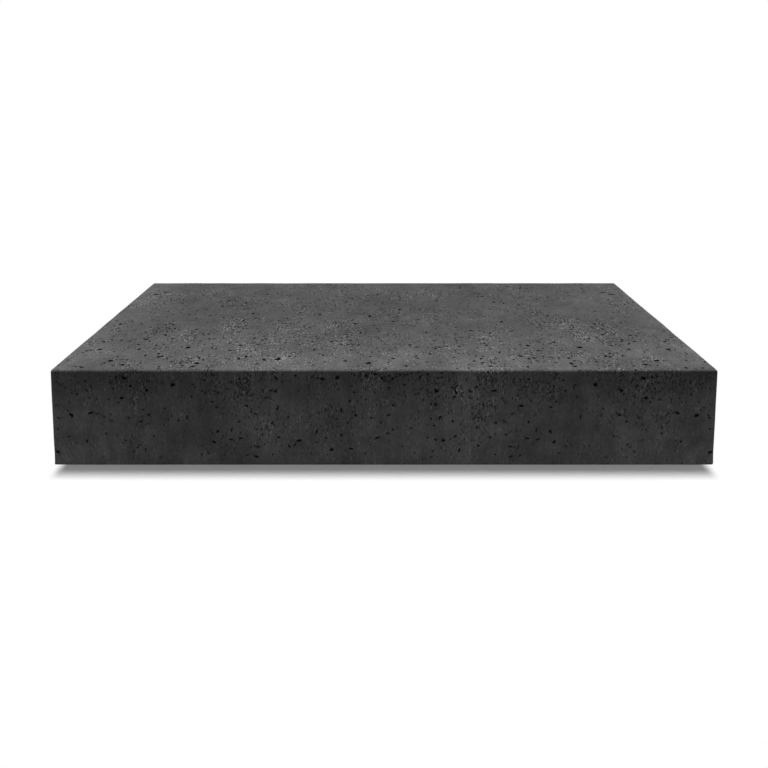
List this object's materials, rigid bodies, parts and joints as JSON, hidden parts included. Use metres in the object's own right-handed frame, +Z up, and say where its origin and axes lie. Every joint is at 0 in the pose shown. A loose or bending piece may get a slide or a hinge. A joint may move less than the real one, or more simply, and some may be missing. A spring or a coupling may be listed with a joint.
{
  "type": "concrete step block",
  "caption": "Solid rectangular step block of pitted anthracite concrete with lightly eased arrises, laid flat as a garden or entrance step.",
  "frame": {"origin": "middle of the bed face, on the ground", "axes": "+X along the block's length, -Y out of the riser (front) face, +Z up out of the tread"},
  "size_m": [1, 0.4, 0.15],
  "materials": {
    "anthracite_concrete": "matte cast concrete, mottled, with small open air pits"
  },
  "bodies": {
    "root": {"step_block": "anthracite_concrete"}
  },
  "joints": []
}
